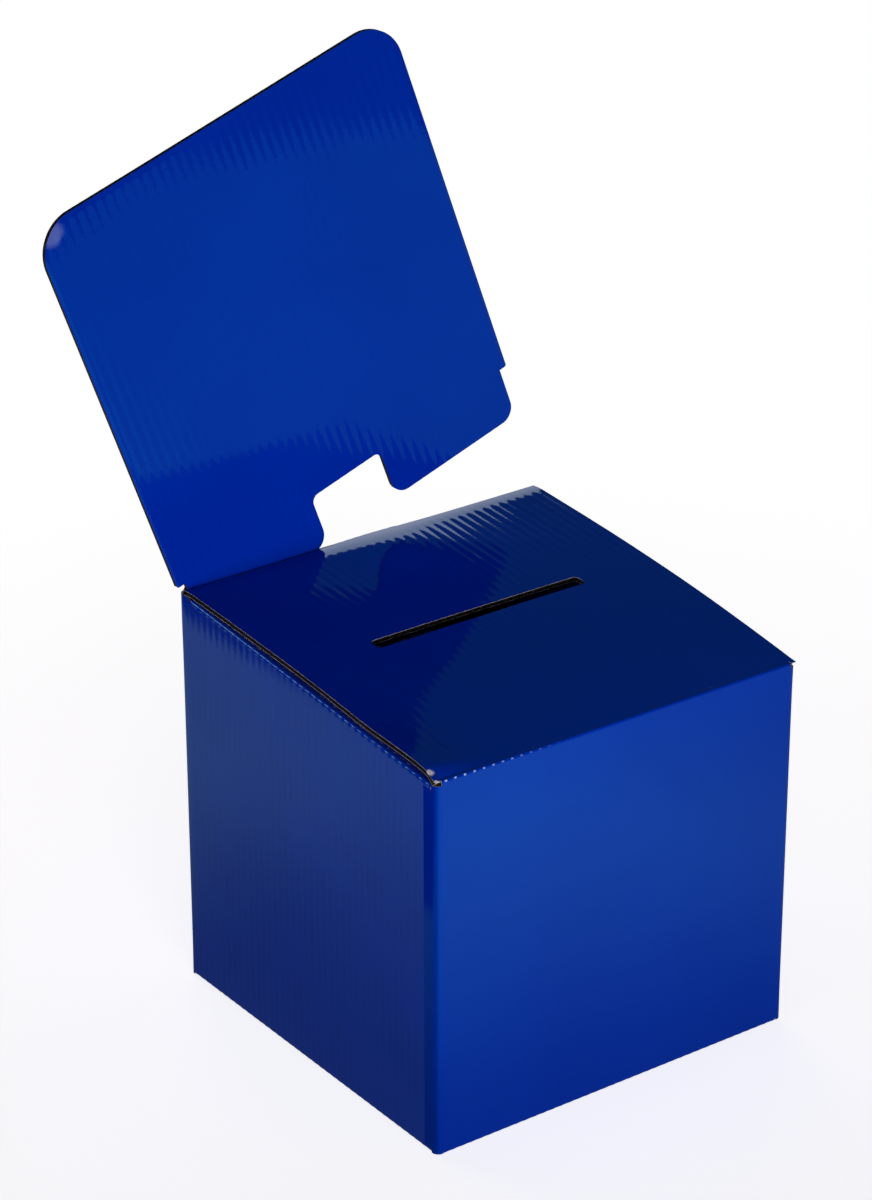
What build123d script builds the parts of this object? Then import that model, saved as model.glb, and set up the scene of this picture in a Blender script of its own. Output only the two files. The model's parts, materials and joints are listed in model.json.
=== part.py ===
from build123d import *
from math import atan2, ceil, cos, radians, sin, tan
import os

# A folded ballot box of corrugated board with a header board that plugs in behind its lid.
# The origin is the middle of the box's underside. The front faces -Y and +Z is up.
# Lengths are millimetres and angles are degrees.

# The board and its three glued plies
board_thickness = 3.0
liner_thickness = 0.25
medium_thickness = 0.18
flute_pitch = 6.35
flute_flat = 1.0

# The box, measured outside
box_width = 254.0
box_depth = 254.0
front_height = 235.0
back_height = 258.0
corner_radius = 4.0
crushed_board = 1.5
back_edge_drop = 2.2

# Play between boards that lie on or beside each other
lay_gap = 0.3
wall_gap = 0.3
seam_gap = 0.6
overrun = 1.0

# The lid, its vote slot and its tuck tongue
vote_slot_length = 148.0
vote_slot_width = 9.5
vote_slot_setback = 132.0
vote_slot_radius = 3.0
header_slot = 3.9
tongue_width = 47.0
tongue_length = 35.0
tongue_radius = 8.0
tongue_lean = 4.0
tongue_gap = 0.4
crease_radius = 3.0

# The dust flaps under the lid
dust_reach = 100.0
dust_front_start = 4.5
dust_front_slant_share = 0.68
dust_back_setback = 14.0
dust_back_slant = 6.0
dust_tip_radius = 6.0
dust_notch_margin = 4.0
dust_notch_radius = 5.0

# The flaps of the bottom
front_flap_reach = 140.0
flap_end_gap = 5.0
flap_end_slant = 2.0
side_flap_reach = 95.0
flap_tip_radius = 3.0

# The flap that the maker's joint is glued on
glue_flap_width = 35.0
glue_flap_foot = 12.0
glue_flap_top = 205.0
glue_flap_slant = 8.0
glue_flap_edge_gap = 4.5

# The header board, and how it stands while its right side is still raised
header_width = 254.0
header_height = 242.0
header_radius = 25.0
shoulder_width = 5.5
shoulder_radius = 1.0
tab_width = 95.0
tab_length = 33.0
tab_radius = 10.0
notch_radius = 5.0
header_lean = 2.5
header_tilt = 18.9
header_overhang = 4.0
header_lift = 1.7
header_back_gap = 0.2

half_width = box_width / 2
half_depth = box_depth / 2
slope = atan2(back_height - front_height, box_depth)
side_base = board_thickness + lay_gap

os.makedirs("parts", exist_ok=True)


def lid_level(y):
    """Height of the lid's top face at y."""
    return front_height + (y + half_depth) * tan(slope)


def side_level(y):
    """Height of the side walls' top crease: one board and its play below the lid's top face."""
    return lid_level(y) - (board_thickness + lay_gap) / cos(slope)


def sharp(*points):
    """Corners with no rounding."""
    return [(u, v, 0) for u, v in points]


# One flute of the medium's middle line: how far along, how deep, and which way each corner leans
medium_low = liner_thickness + medium_thickness / 2
medium_high = board_thickness - liner_thickness - medium_thickness / 2
flute_run = flute_pitch / 2 - flute_flat
flute_shift = tan(atan2(medium_high - medium_low, flute_run) / 2) * medium_thickness / 2
flute_corners = (
    (0, medium_low, 1),
    (flute_flat, medium_low, -1),
    (flute_pitch / 2, medium_high, -1),
    (flute_pitch / 2 + flute_flat, medium_high, 1),
)


def medium_face(count, side):
    """One face of the wavy medium over a count of flutes, as points along and into the board."""
    points = []
    for index in range(count):
        start = (index - count / 2) * flute_pitch
        for along, depth, lean in flute_corners:
            across = start + along + side * lean * flute_shift
            points.append((across, depth + side * medium_thickness / 2))
    return points


plies = (
    ("printed_liner", 0, liner_thickness),
    ("fluting", liner_thickness, board_thickness - liner_thickness),
    ("plain_liner", board_thickness - liner_thickness, board_thickness),
)


def board(name, face, outline_of):
    """The three plies of a panel: face is its printed side, flutes run along the face's Y,
    and outline_of(depth) gives the shapes of a ply whose deeper side lies at that depth."""
    for ply, near, far in plies:
        shapes = outline_of(far)
        spread = max(abs(u) for corners, _ in shapes for u, _, _ in corners)
        low = min(v for corners, _ in shapes for _, v, _ in corners)
        high = max(v for corners, _ in shapes for _, v, _ in corners)
        slack = overrun if ply == "fluting" else 0
        with BuildPart() as sheet:
            if ply == "fluting":
                foot = face.origin + face.y_dir * (low - overrun)
                count = 2 * ceil(spread / flute_pitch) + 2
                wave = medium_face(count, 1) + medium_face(count, -1)[::-1]
                with BuildSketch(Plane(foot, x_dir=face.x_dir, z_dir=face.y_dir)):
                    with BuildLine():
                        Polyline(*wave, close=True)
                    make_face()
                extrude(amount=high - low + 2 * overrun)
            with BuildSketch(face.offset(-far - slack)):
                for corners, mode in shapes:
                    with BuildLine():
                        FilletPolyline(
                            *[(u, v) for u, v, _ in corners],
                            radius=[r for _, _, r in corners],
                            close=True,
                        )
                    make_face(mode=mode)
            cut = Mode.INTERSECT if ply == "fluting" else Mode.ADD
            extrude(amount=far - near + 2 * slack, mode=cut)
        sheet.part.label = f"{name}_{ply}"
        export_step(sheet.part, f"parts/{name}_{ply}.step")


# Front and back walls. A creased edge steps back ply by ply, so that two panels meet in a mitre.
def front_outline(depth):
    reach = half_width - corner_radius
    top = front_height - depth
    return [(sharp((-reach, depth), (reach, depth), (reach, top), (-reach, top)), Mode.ADD)]


def back_outline(depth):
    reach = half_width - corner_radius
    top = back_height - back_edge_drop
    return [(sharp((-reach, depth), (reach, depth), (reach, top), (-reach, top)), Mode.ADD)]


board("front_wall", Plane((0, -half_depth, 0), x_dir=(1, 0, 0), z_dir=(0, -1, 0)), front_outline)
board("back_wall", Plane((0, half_depth, 0), x_dir=(-1, 0, 0), z_dir=(0, 1, 0)), back_outline)


# Side walls, whose top crease slopes with the lid
def side_outline(side, depth):
    reach = half_depth - corner_radius
    base = side_base + depth
    corners = sharp(
        (-side * reach, base),
        (side * reach, base),
        (side * reach, side_level(reach) - depth),
        (-side * reach, side_level(-reach) - depth),
    )
    return [(corners, Mode.ADD)]


# Dust flaps, folded in from the side walls and notched to keep the vote slot clear
up_slope = Vector(0, cos(slope), sin(slope))
lid_normal = Vector(0, -sin(slope), cos(slope))
slope_half = half_depth / cos(slope)
slot_along = vote_slot_setback / cos(slope) - slope_half


def dust_outline(side, depth):
    front = dust_front_start - slope_half
    back = slope_half - dust_back_setback
    tip_front = front + dust_reach * dust_front_slant_share
    notch_half = vote_slot_width / 2 + dust_notch_margin
    notch_floor = half_width - vote_slot_length / 2 - dust_notch_margin
    flap = [
        (side * front, depth, 0),
        (side * back, depth, 0),
        (side * (back - dust_back_slant), dust_reach, dust_tip_radius),
        (side * tip_front, dust_reach, dust_tip_radius),
    ]
    notch = [
        (side * (slot_along - notch_half), notch_floor, dust_notch_radius),
        (side * (slot_along + notch_half), notch_floor, dust_notch_radius),
        (side * (slot_along + notch_half), dust_reach + overrun, 0),
        (side * (slot_along - notch_half), dust_reach + overrun, 0),
    ]
    return [(flap, Mode.ADD), (notch, Mode.SUBTRACT)]


# Side flaps of the bottom, whose slanted ends let all four flaps open at once
def side_flap_outline(depth):
    root = half_depth - flap_end_gap
    tip = root - side_flap_reach
    corners = [
        (-root, depth, 0),
        (root, depth, 0),
        (tip, side_flap_reach, flap_tip_radius),
        (-tip, side_flap_reach, flap_tip_radius),
    ]
    return [(corners, Mode.ADD)]


for label, side in (("left", -1), ("right", 1)):
    board(
        f"{label}_wall",
        Plane((side * half_width, 0, 0), x_dir=(0, side, 0), z_dir=(side, 0, 0)),
        lambda depth: side_outline(side, depth),
    )
    board(
        f"{label}_dust_flap",
        Plane((side * half_width, 0, side_level(0)), x_dir=side * up_slope, z_dir=lid_normal),
        lambda depth: dust_outline(side, depth),
    )
    board(
        f"bottom_{label}_flap",
        Plane((side * half_width, 0, side_base), x_dir=(0, -side, 0), z_dir=(0, 0, -1)),
        side_flap_outline,
    )


# Front and back flaps of the bottom, which meet edge to edge and carry the box
def long_flap_outline(reach, depth):
    root = half_width - flap_end_gap
    tip = root - flap_end_slant
    corners = [
        (-root, depth, 0),
        (root, depth, 0),
        (tip, reach, flap_tip_radius),
        (-tip, reach, flap_tip_radius),
    ]
    return [(corners, Mode.ADD)]


back_flap_reach = box_depth - front_flap_reach - seam_gap
for label, end, reach in (("front", -1, front_flap_reach), ("back", 1, back_flap_reach)):
    board(
        f"bottom_{label}_flap",
        Plane((0, end * half_depth, 0), x_dir=(end, 0, 0), z_dir=(0, 0, -1)),
        lambda depth: long_flap_outline(reach, depth),
    )


# Vertical folds: crushed board bent round each corner, in order round the box from the +X +Y one
corners_round = (("back_right", 1, 1), ("back_left", -1, 1), ("front_left", -1, -1), ("front_right", 1, -1))
for quarter, (label, x_side, y_side) in enumerate(corners_round):
    x_middle = x_side * (half_width - corner_radius)
    y_middle = y_side * (half_depth - corner_radius)
    start_angle = quarter * 90
    top = min(side_level(y_side * half_depth), side_level(y_middle))
    with BuildPart() as corner_fold:
        with BuildSketch(Plane.XY.offset(side_base)):
            with BuildLine():
                outer = CenterArc((x_middle, y_middle), corner_radius, start_angle, 90)
                inner = CenterArc((x_middle, y_middle), corner_radius - crushed_board, start_angle, 90)
                Line(outer @ 0, inner @ 0)
                Line(outer @ 1, inner @ 1)
            make_face()
        extrude(amount=top - side_base)
    corner_fold.part.label = f"{label}_corner_fold"
    export_step(corner_fold.part, f"parts/{label}_corner_fold.step")


# Glue flap of the maker's joint, flat against the back wall's plain side
def glue_outline(depth):
    edge = glue_flap_edge_gap - half_width
    tip = edge + glue_flap_width
    corners = [
        (edge, glue_flap_foot, 0),
        (tip, glue_flap_foot + glue_flap_slant, flap_tip_radius),
        (tip, glue_flap_top - glue_flap_slant, flap_tip_radius),
        (edge, glue_flap_top, 0),
    ]
    return [(corners, Mode.ADD)]


glue_face = Plane((0, half_depth - board_thickness, 0), x_dir=(-1, 0, 0), z_dir=(0, 1, 0))
board("glue_flap", glue_face, glue_outline)

# Lid: cut back along its rear edge for the header's tabs, and creased in the middle for the tongue
lid_reach = (box_depth - board_thickness - header_slot) / cos(slope)
crease_y = half_depth - board_thickness - wall_gap
crease_reach = (crease_y + half_depth - board_thickness * sin(slope)) / cos(slope)
slot_middle = vote_slot_setback / cos(slope)


def lid_outline(depth):
    tongue_edge = tongue_width / 2
    crease_start = crease_reach - crease_radius
    slot_end = vote_slot_length / 2
    slot_front = slot_middle - vote_slot_width / 2
    slot_back = slot_middle + vote_slot_width / 2
    panel = sharp(
        (-half_width, depth),
        (half_width, depth),
        (half_width, lid_reach),
        (tongue_edge, lid_reach),
        (tongue_edge, crease_start),
        (-tongue_edge, crease_start),
        (-tongue_edge, lid_reach),
        (-half_width, lid_reach),
    )
    slot = [
        (-slot_end, slot_front, vote_slot_radius),
        (slot_end, slot_front, vote_slot_radius),
        (slot_end, slot_back, vote_slot_radius),
        (-slot_end, slot_back, vote_slot_radius),
    ]
    return [(panel, Mode.ADD), (slot, Mode.SUBTRACT)]


lid_face = Plane((0, -half_depth, front_height), x_dir=(1, 0, 0), z_dir=lid_normal)
board("lid", lid_face, lid_outline)

# The lid's rear crease, where crushed board turns down into the tongue
crease_end = Vector(-tongue_width / 2, -half_depth, front_height)
with BuildPart() as tongue_crease:
    with BuildSketch(Plane(crease_end, x_dir=up_slope, z_dir=(1, 0, 0))):
        with BuildLine():
            crease_middle = (crease_reach - crease_radius, -crease_radius)
            outer = CenterArc(crease_middle, crease_radius, 0, 90)
            inner = CenterArc(crease_middle, crease_radius - crushed_board, 0, 90)
            Line(outer @ 0, inner @ 0)
            Line(outer @ 1, inner @ 1)
        make_face()
    extrude(amount=tongue_width)
tongue_crease.part.label = "tongue_crease_fold"
export_step(tongue_crease.part, "parts/tongue_crease_fold.step")


# Tongue, tucked down inside the back wall
def tongue_outline(depth):
    edge = tongue_width / 2
    corners = [
        (-edge, 0, 0),
        (edge, 0, 0),
        (edge, tongue_length, tongue_radius),
        (-edge, tongue_length, tongue_radius),
    ]
    return [(corners, Mode.ADD)]


lean = radians(tongue_lean)
tongue_normal = Vector(0, cos(lean), -sin(lean))
tongue_hinge_y = crease_y - board_thickness
tongue_hinge_z = lid_level(tongue_hinge_y) - board_thickness / cos(slope) - tongue_gap
tongue_hinge = Vector(0, tongue_hinge_y, tongue_hinge_z)
tongue_face = Plane(
    tongue_hinge + tongue_normal * board_thickness, x_dir=(1, 0, 0), z_dir=tongue_normal
)
board("tongue", tongue_face, tongue_outline)


# Header board: two tabs below two narrow shoulders, with the notch for the tongue between them
def header_outline(depth):
    tab_outer = shoulder_width
    tab_inner = shoulder_width + tab_width
    corners = [
        (0, 0, shoulder_radius),
        (tab_outer, 0, 0),
        (tab_outer, -tab_length, tab_radius),
        (tab_inner, -tab_length, tab_radius),
        (tab_inner, 0, notch_radius),
        (header_width - tab_inner, 0, notch_radius),
        (header_width - tab_inner, -tab_length, tab_radius),
        (header_width - tab_outer, -tab_length, tab_radius),
        (header_width - tab_outer, 0, 0),
        (header_width, 0, shoulder_radius),
        (header_width, header_height, header_radius),
        (0, header_height, header_radius),
    ]
    return [(corners, Mode.ADD)]


leaning_up = Vector(0, sin(radians(header_lean)), cos(radians(header_lean)))
header_normal = Vector(1, 0, 0).cross(leaning_up)
header_along = Vector(cos(radians(header_tilt)), 0, 0) + leaning_up * sin(radians(header_tilt))
header_corner = Vector(
    -half_width - header_overhang,
    half_depth - board_thickness - header_back_gap - board_thickness / 2,
    lid_level(half_depth - board_thickness) + header_lift,
)
header_face = Plane(
    header_corner + header_normal * (board_thickness / 2), x_dir=header_along, z_dir=header_normal
)
board("header", header_face, header_outline)
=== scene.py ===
# %% [markdown]
# # A folded ballot box of glossy blue corrugated board
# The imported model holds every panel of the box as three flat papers: a printed liner, a wavy
# medium and a plain liner. This lesson loads it as a fixed frame and gives it its looks. Surfaces
# that bend or ripple on the real board are computed again with numpy as functions of two
# parameters. Panels whose flat shape is already right keep their meshes and get a finish.

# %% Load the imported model
import json
import math
import bpy
import numpy as np
from mathutils import Matrix, Vector


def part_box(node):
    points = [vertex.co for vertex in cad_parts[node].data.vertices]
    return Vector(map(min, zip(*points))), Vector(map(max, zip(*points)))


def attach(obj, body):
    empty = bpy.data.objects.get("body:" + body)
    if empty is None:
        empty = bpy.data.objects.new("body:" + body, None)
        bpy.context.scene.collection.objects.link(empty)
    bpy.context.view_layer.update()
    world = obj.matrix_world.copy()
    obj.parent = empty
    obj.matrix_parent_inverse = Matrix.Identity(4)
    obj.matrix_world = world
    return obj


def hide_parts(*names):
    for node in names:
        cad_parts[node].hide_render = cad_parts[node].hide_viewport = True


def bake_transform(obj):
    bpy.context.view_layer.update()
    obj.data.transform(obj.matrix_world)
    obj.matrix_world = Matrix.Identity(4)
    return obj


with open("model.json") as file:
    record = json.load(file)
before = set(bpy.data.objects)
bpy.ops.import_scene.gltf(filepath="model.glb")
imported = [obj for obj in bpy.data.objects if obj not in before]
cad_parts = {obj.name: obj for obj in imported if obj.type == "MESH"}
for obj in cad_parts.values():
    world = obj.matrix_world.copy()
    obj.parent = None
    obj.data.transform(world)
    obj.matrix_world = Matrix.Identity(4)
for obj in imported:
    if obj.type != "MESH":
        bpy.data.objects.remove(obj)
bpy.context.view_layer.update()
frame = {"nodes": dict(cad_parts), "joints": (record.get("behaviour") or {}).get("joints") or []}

# %% [markdown]
# Lengths below are in millimetres and become metres only when a mesh is made. The sizes that
# joints or nodes already know are read from the frame, so the looks follow the model. The rest
# repeat the model's own driving sizes.

# %% Sizes of the board and the box
MM = 0.001
joints = {joint["name"]: joint for joint in frame["joints"]}
hinge = {name: np.array(joint["pos_m"]) / MM for name, joint in joints.items()}
axis = {name: np.array(joint["axis"]) for name, joint in joints.items()}

board = 3.0
liner = 0.25
medium = 0.18
pitch = 6.35
crest = 0.5
half = -hinge["lid_hinge"][1]
front_height = hinge["lid_hinge"][2]
slope = math.atan2(-axis["left_dust_flap_hinge"][2], -axis["left_dust_flap_hinge"][1])
corner_radius = 4.0
back_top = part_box("back_wall_printed_liner")[1].z / MM
x_way, y_way, z_way = np.eye(3)
up_slope = np.array((0, math.cos(slope), math.sin(slope)))
lid_normal = np.array((0, -math.sin(slope), math.cos(slope)))


def side_level(y):
    """Height of a side wall's top crease at y: a straight line that rises to the back."""
    return hinge["left_dust_flap_hinge"][2] + y * math.tan(slope)


print("half width", half, "front", front_height, "back", back_top, "slope", math.degrees(slope))

# %% [markdown]
# ## The camera
# The eye stands to the left of the front and looks down at the lid from far away, so upright
# edges stay nearly parallel. Azimuth, elevation and distance were fitted to the corners of the
# box. The lens comes from the focal length in pixels of the 872 by 1200 frame.

# %% The camera
sensor = 36.0
frame_height = 1200
focal_pixels = 3738.2
view_azimuth, view_elevation, view_roll = (math.radians(a) for a in (-36.0273, 24.5752, -0.1096))
view_centre = Vector((0, 0, 150))
view_distance, view_right, view_up = 2188.96, 27.94, -101.25
sight_metres = 100


def camera_axes(azimuth, elevation, roll):
    """Right, up and back of an eye that looks at the origin from an azimuth and an elevation."""
    flat = math.cos(elevation)
    back = Vector((math.sin(azimuth) * flat, -math.cos(azimuth) * flat, math.sin(elevation)))
    right = Vector((0, 0, 1)).cross(back).normalized()
    up = back.cross(right)
    turn = Matrix.Rotation(roll, 3, back)
    return turn @ right, turn @ up, back


right, up, back = camera_axes(view_azimuth, view_elevation, view_roll)
eye = view_centre + back * view_distance - right * view_right - up * view_up
camera = bpy.data.objects.new("camera", bpy.data.cameras.new("camera"))
camera.data.lens = focal_pixels * sensor / frame_height
camera.data.sensor_width = sensor
camera.data.clip_end = sight_metres
camera.matrix_world = Matrix.Translation(eye * MM) @ Matrix((right, up, back)).transposed().to_4x4()
bpy.context.scene.collection.objects.link(camera)
bpy.context.scene.camera = camera
bpy.context.scene.view_settings.view_transform = "Standard"
print("camera at", [round(x) for x in eye], "lens", round(camera.data.lens, 1))

# %% [markdown]
# ## Writing materials as expressions
# A node tree is easier to read as arithmetic. `Value` wraps one output socket: `a * b + 1` adds
# the Math nodes, and `node` adds any other node, with its settings first and its inputs after.

# %% A small language for shaders


class Value:
    """An output socket of a node tree. Operators on it add Math nodes to the tree."""

    def __init__(self, tree, socket=None):
        self.tree = tree
        self.socket = socket

    def node(self, kind, settings=None, inputs=None, output=0):
        """Adds a node, sets its settings, then its inputs by name or number. Gives an output."""
        made = self.tree.nodes.new(kind)
        for name, setting in (settings or {}).items():
            setattr(made, name, setting)
        for name, given in (inputs or {}).items():
            if isinstance(given, Value):
                self.tree.links.new(given.socket, made.inputs[name])
            else:
                made.inputs[name].default_value = given
        return Value(self.tree, made.outputs[output] if made.outputs else None)

    def output(self, name):
        """Another output of the node that this value comes from."""
        return Value(self.tree, self.socket.node.outputs[name])

    def maths(self, operation, *others):
        """A Math node of this value and the others."""
        inputs = dict(enumerate((self, *others)))
        return self.node("ShaderNodeMath", {"operation": operation}, inputs)

    def __add__(self, other):
        return self.maths("ADD", other)

    def __sub__(self, other):
        return self.maths("SUBTRACT", other)

    def __rsub__(self, other):
        return (self * -1).maths("ADD", other)

    def __mul__(self, other):
        return self.maths("MULTIPLY", other)

    __radd__ = __add__
    __rmul__ = __mul__

    def step(self, low, high, start=0.0, end=1.0):
        """Goes smoothly from start to end while this value goes from low to high."""
        settings = {"interpolation_type": "SMOOTHSTEP"}
        inputs = {0: self, 1: low, 2: high, 3: start, 4: end}
        return self.node("ShaderNodeMapRange", settings, inputs)

    def mix(self, first, second):
        """Blends two colours: first where this value is 0, second where it is 1."""
        inputs = {0: self, 6: first, 7: second}
        return self.node("ShaderNodeMix", {"data_type": "RGBA"}, inputs, output=2)

    def parts(self):
        """The x, y and z of this vector."""
        split = self.node("ShaderNodeSeparateXYZ", {}, {0: self})
        return split, split.output("Y"), split.output("Z")

    def noise(self, size, detail=2.0):
        """Smooth random cells of a size in metres, over this vector."""
        inputs = {"Vector": self, "Scale": 1 / size, "Detail": detail}
        return self.node("ShaderNodeTexNoise", {}, inputs)


def new_material(name):
    """An empty material, and a Value to start its tree from."""
    material = bpy.data.materials.new(name)
    material.use_nodes = True
    material.node_tree.nodes.clear()
    return material, Value(material.node_tree)


print("shader language ready")

# %% [markdown]
# ## The studio
# The object was cut out on white, so the camera sees the floor as white with a faint shadow. To the
# gloss of the board the floor glows with painted light: a slightly cool sheet of paper, with
# painted shade next to the box, dimmer to both sides, and ending left of the box and in front of
# it, with a dark floor beyond. Those two edges draw the ragged dark bands on the left wall and
# along the header's top. Nothing here is metal or glass, which would show the white itself. Lengths
# that a material reads are in metres.

# %% The floor
floor_half = 20000
pale_paper = (0.86, 0.86, 0.86, 1)
white = (1, 1, 1, 1)
black = (0, 0, 0, 1)
cool_sheet = (0.85, 1.1, 1.0, 1)
sheet_left = -0.402
sheet_front = -1.6
sheet_blur = 0.009
sheet_light, shaded_light, dark_light = 0.75, 0.16, 0.04
box_shade = 0.3
right_from, right_to, right_loss = 0.1, 0.45, 0.53
left_from, left_to, left_loss = -0.05, -0.25, 0.5
shadow_from, shadow_to = 0.35, 1.1
shadow_share = 0.24


def make_floor():
    """A large square at the height of the box's underside."""
    material, tree = new_material("floor")
    seen = tree.node("ShaderNodeLightPath").output("Is Camera Ray")
    mirrored = seen.output("Is Glossy Ray")
    x, y, _ = tree.node("ShaderNodeTexCoord").output("Object").parts()
    near = (x * x + y * y).maths("SQRT").step(shadow_from, shadow_to, 1.0, 0.0)
    on_sheet = x.step(sheet_left - sheet_blur, sheet_left + sheet_blur)
    on_sheet = on_sheet * y.step(sheet_front - sheet_blur, sheet_front + sheet_blur)
    aside = (x.maths("ABSOLUTE") - half * MM).maths("MAXIMUM", 0.0)
    ahead = (y.maths("ABSOLUTE") - half * MM).maths("MAXIMUM", 0.0)
    away = (aside * aside + ahead * ahead).maths("SQRT")
    # Painted shade: the floor's glow, seen only in the gloss, is dimmer next to the box.
    tone = away.step(0.0, box_shade, shaded_light, sheet_light)
    tone = tone * x.step(right_from, right_to, 1.0, 1 - right_loss) * on_sheet
    tone = tone * x.step(left_to, left_from, 1 - left_loss, 1.0)
    tone = tone.maths("MAXIMUM", dark_light)
    colour = (seen * (1 - near)).mix(pale_paper, black)
    paper = tree.node("ShaderNodeBsdfDiffuse", {}, {"Color": mirrored.mix(colour, black)})
    strength = seen * (1 - shadow_share * near) + mirrored * tone
    hue = seen.mix(cool_sheet, white)
    glow = tree.node("ShaderNodeEmission", {}, {"Color": hue, "Strength": strength})
    both = tree.node("ShaderNodeAddShader", {}, {0: paper, 1: glow})
    tree.node("ShaderNodeOutputMaterial", {}, {"Surface": both})
    corners = [(-1, -1, 0), (1, -1, 0), (1, 1, 0), (-1, 1, 0)]
    mesh = bpy.data.meshes.new("floor")
    mesh.from_pydata([Vector(c) * floor_half * MM for c in corners], [], [(0, 1, 2, 3)])
    mesh.materials.append(material)
    floor = bpy.data.objects.new("floor", mesh)
    bpy.context.scene.collection.objects.link(floor)
    return floor


floor = make_floor()
print("floor", floor.dimensions[:])

# %% [markdown]
# Glossy film shows its lamps, so their places were read from the picture. The key lamp stands low
# at the front left: it lights the two walls and the header and grazes the lid, which stays dark. A
# wide low lamp behind draws the pale strip along the lid's rear edge. A card beside it, which only
# the gloss sees, draws the thin bright line along the fold at the left wall's top. A faint lamp on
# the left and one on the right fill the sides, and the world adds a little even light.

# %% Lamps and world
ambient = (0.03, 0.03, 0.03, 1)
mirrored_room = (0.02, 0.10, 0.28, 1)
lamp_colour = (1.0, 0.93, 1.0)


def softbox(name, place, aim, size, power, spread=180):
    """A rectangular soft lamp, in millimetres and watts. The camera doesn't see the lamp itself."""
    lamp = bpy.data.lights.new(name, "AREA")
    lamp.shape = "RECTANGLE"
    lamp.size, lamp.size_y = (length * MM for length in size)
    lamp.energy = power
    lamp.spread = math.radians(spread)
    lamp.color = lamp_colour
    made = bpy.data.objects.new(name, lamp)
    made.location = Vector(place) * MM
    made.rotation_euler = (Vector(aim) - Vector(place)).to_track_quat("-Z", "Y").to_euler()
    made.visible_camera = False
    bpy.context.scene.collection.objects.link(made)
    print("lamp", name, power, "W")
    return made


def make_world():
    """White to the camera, a dim cool room to the gloss, and a dim grey to everything else."""
    world = bpy.data.worlds.new("world")
    world.use_nodes = True
    world.node_tree.nodes.clear()
    tree = Value(world.node_tree)
    seen = tree.node("ShaderNodeLightPath").output("Is Camera Ray")
    mirrored = seen.output("Is Glossy Ray")
    colour = seen.mix(mirrored.mix(ambient, mirrored_room), white)
    sky = tree.node("ShaderNodeBackground", {}, {"Color": colour})
    tree.node("ShaderNodeOutputWorld", {}, {"Surface": sky})
    bpy.context.scene.world = world


make_world()
softbox("key_lamp", (-560, -1320, 292), (10, 0, 405), (900, 500), 2.65, 67)
softbox("back_lamp", (500, 1750, 677), (500, 0, 677), (3200, 1334), 16.5)
softbox("left_lamp", (-1100, -100, 560), (0, 0, 420), (700, 400), 0.2, 50)
card = softbox("back_card", (-1600, 1750, 520), (-1600, 0, 520), (1000, 1000), 12)
card.visible_diffuse = False
softbox("right_lamp", (1700, 100, 420), (0, 0, 150), (900, 700), 3)

# %% [markdown]
# ## Finishes
# The outer liner is printed royal blue and covered with a glossy film. Its colour is nearly even,
# with a fine print grain. The film has a slight orange peel, and faint smears change its
# roughness. Its reflection is tinted blue-green where it is looked at straight, as a saturated
# print looks through a film. At the lid's left front corner matt white spots are painted: partly
# bare paper where the board is crushed, partly a painted highlight. All of this is written as masks
# over the object's own coordinates, in metres.

# %% Flutes and white spots in a material
cloud_size, fine_detail = 0.11, 3.0
ripple_depth = 0.00008
spot_grain, spot_ragged = 0.0015, 0.0016
# White spots at the lid's left front corner: partly bare paper of the crushed board, partly a
# painted highlight.
glint_and_bare_spots = [
    ((-0.1255, -0.1200, 0.2387), 0.0022, 0.0036),
    ((-0.1262, -0.1268, 0.2345), 0.0024, 0.0032),
]


def ripple(spot, across):
    """Waves of the board's flutes over x or y, for panels whose mesh is flat: 1 on a crest."""
    along = spot.parts()[across]
    return (along * (2 * math.pi / (pitch * MM)) - 2 * math.pi * crest / pitch).maths("COSINE")


def bump(height):
    """A Bump node's normal for a height in metres."""
    inputs = {"Strength": 1.0, "Distance": 1.0, "Height": height}
    return height.node("ShaderNodeBump", {}, inputs)


def distance(spot, centre):
    """How far a point is from a centre."""
    settings = {"operation": "DISTANCE"}
    return spot.node("ShaderNodeVectorMath", settings, {0: spot, 1: centre}, output=1)


def ragged_spots(spot, places):
    """A mask inside small balls with ragged edges, for the white spots and the header's painted
    highlight. A place is a centre, and the distances where the mark starts to fade and ends."""
    mask = None
    ragged = spot.noise(spot_grain) * spot_ragged
    for centre, inner, outer in places:
        ball = (distance(spot, centre) + ragged).step(inner, outer, 1.0, 0.0)
        mask = ball if mask is None else mask.maths("MAXIMUM", ball)
    return mask


print("worn spots", len(glint_and_bare_spots))

# %% [markdown]
# Folding and handling have pressed the board, and painted light goes into the print. A painted
# highlight lies at the header's bent corner, and painted glints dot the front crease, fewer to the
# right. The side walls show fine darker upright streaks, and beside the front corners a score has
# pressed them, so they lean in there and painted shade darkens them.

# %% Marks and painted light in the print
# The header's bent corner gets a painted highlight, a pale blue patch with ragged edges.
curled_spots = [((-0.1975, 0.132, 0.4855), 0.005, 0.010)]
curl_centre, curl_inner, curl_outer = (-0.1777, 0.1326, 0.4708), 0.0195, 0.0225
curl_grain, curl_ragged, corner_highlight_share = 0.0012, 0.005, 0.6
# Painted glints on the front crease, one on each flute crest, fading out to the right.
dot_y, dot_z = -0.1268, 0.2345
dot_inner, dot_outer = 0.0005, 0.0010
dot_grain, dot_ragged = 0.004, 0.0006
dot_crest_from, dot_crest_to = 0.55, 0.9
dots_from, dots_to = -0.124, -0.035
streak_from, streak_to = 0.1258, 0.1264
streak_top, streak_fade = 0.258, 0.001
streak_cloud, cloud_from, cloud_to = cloud_size / 3, 0.3, 0.6
press_from, press_fade = 0.1155, 0.0005
press_turn, press_side = 0.1245, 0.1262


def painted_corner_highlight(spot):
    """Painted highlight on the film of the header's bent corner: near the corner's rounded edge."""
    ragged = distance(spot, curl_centre) + spot.noise(curl_grain, fine_detail) * curl_ragged
    return ragged_spots(spot, curled_spots) * ragged.step(curl_inner, curl_outer) * corner_highlight_share


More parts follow.
